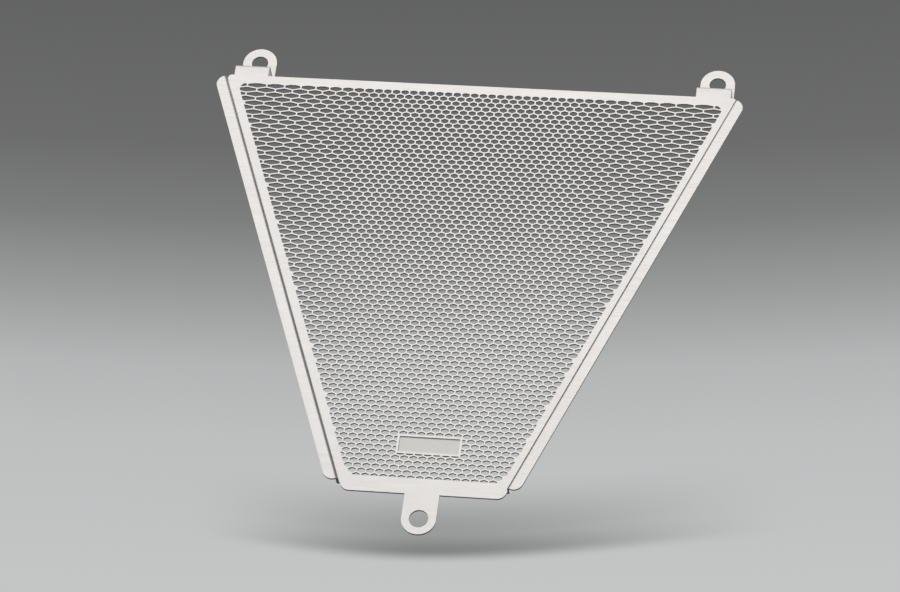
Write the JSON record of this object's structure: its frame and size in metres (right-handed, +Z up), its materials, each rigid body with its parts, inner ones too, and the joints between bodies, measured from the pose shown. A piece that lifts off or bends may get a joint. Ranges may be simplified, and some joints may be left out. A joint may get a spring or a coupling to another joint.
{
  "type": "motorcycle radiator guard",
  "caption": "Tapered stainless guard for a motorcycle radiator: one folded sheet with a graded honeycomb grille, stepped side flanges, set-back upper ears and a lower tab.",
  "frame": {"origin": "middle of the lower tab's hole, on the front face of the sheet", "axes": "+X to the right as seen from the front, +Y to the back, towards the radiator, +Z up, from the tab to the ears"},
  "size_m": [0.2288, 0.018, 0.242],
  "materials": {
    "stainless": "satin"
  },
  "bodies": {
    "root": {"guard_sheet": "stainless"}
  },
  "joints": []
}
